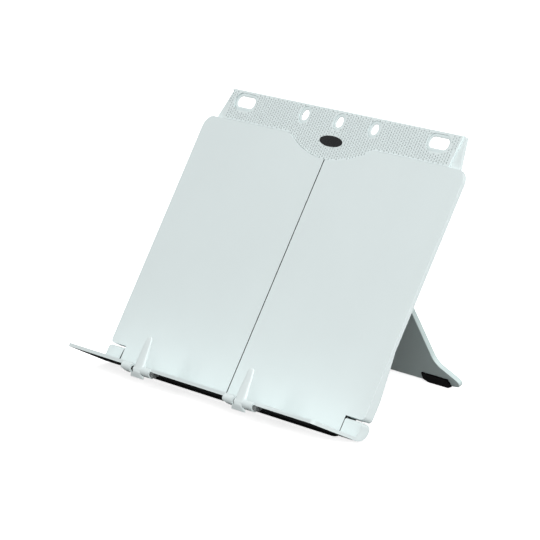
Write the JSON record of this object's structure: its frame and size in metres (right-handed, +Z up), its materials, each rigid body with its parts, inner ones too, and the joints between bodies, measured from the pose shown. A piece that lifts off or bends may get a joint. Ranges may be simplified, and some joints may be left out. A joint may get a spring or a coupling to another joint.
{
  "type": "folding copy stand",
  "caption": "Folding desk stand for a book or papers: leaning panel with a punched header tab, fold-up ledge, flip page fingers and a flared rear leg.",
  "frame": {"origin": "on the desk, under the middle of the front rubber foot", "axes": "+X to the reader's right, +Y away from the reader, +Z up; the stand is stored open, leaning back 28 degrees"},
  "size_m": [0.3, 0.189, 0.1875],
  "materials": {
    "shell_plastic": "fine satin moulding",
    "header_plastic": "moulded with rows of short dashes",
    "panel_plastic": "fine satin moulding",
    "badge_plastic": "glossy",
    "screw_steel": "zinc plated",
    "foot_rubber": "matte",
    "ledge_plastic": "fine satin moulding",
    "pin_steel": "drawn",
    "finger_plastic": "smooth moulding",
    "leg_plastic": "fine satin moulding"
  },
  "bodies": {
    "stand": {"back_shell": "shell_plastic", "header_plate": "header_plastic", "front_panel_left": "panel_plastic", "front_panel_right": "panel_plastic", "oval_badge": "badge_plastic", "panel_screws": "screw_steel", "front_foot_strip": "foot_rubber", "ledge_pin_left": "pin_steel", "ledge_pin_right": "pin_steel", "leg_hinge_pin": "pin_steel"},
    "ledge": {"ledge": "ledge_plastic"},
    "left_finger_pin": {"finger_pin_left": "pin_steel"},
    "right_finger_pin": {"finger_pin_right": "pin_steel"},
    "left_finger": {"page_finger_left": "finger_plastic"},
    "right_finger": {"page_finger_right": "finger_plastic"},
    "leg": {"leg": "leg_plastic", "leg_foot_left": "foot_rubber", "leg_foot_right": "foot_rubber"}
  },
  "joints": [
    {"name": "ledge_fold", "type": "hinge", "parent": "stand", "child": "ledge", "pos_m": [0, 0.004, 0.00861], "axis": [-1, 0, 0], "range_deg": [0, 93]},
    {"name": "left_pin_turn", "type": "hinge", "parent": "ledge", "child": "left_finger_pin", "pos_m": [-0.0613, -0.03408, 0.01544], "axis": [-1, 0, 0], "range_deg": [-93, 0]},
    {"name": "right_pin_turn", "type": "hinge", "parent": "ledge", "child": "right_finger_pin", "pos_m": [0.0613, -0.03408, 0.01544], "axis": [-1, 0, 0], "range_deg": [-93, 0]},
    {"name": "left_finger_flip", "type": "hinge", "parent": "left_finger_pin", "child": "left_finger", "pos_m": [-0.0613, -0.03408, 0.01544], "axis": [1, 0, 0], "range_deg": [0, 90]},
    {"name": "right_finger_flip", "type": "hinge", "parent": "right_finger_pin", "child": "right_finger", "pos_m": [0.0613, -0.03408, 0.01544], "axis": [1, 0, 0], "range_deg": [0, 90]},
    {"name": "leg_fold", "type": "hinge", "parent": "stand", "child": "leg", "pos_m": [0, 0.07677, 0.13482], "axis": [-1, 0, 0], "range_deg": [0, 56]}
  ],
  "couplings": [
    {"joint": "left_pin_turn", "follows": "ledge_fold", "ratio": -1},
    {"joint": "right_pin_turn", "follows": "ledge_fold", "ratio": -1}
  ]
}
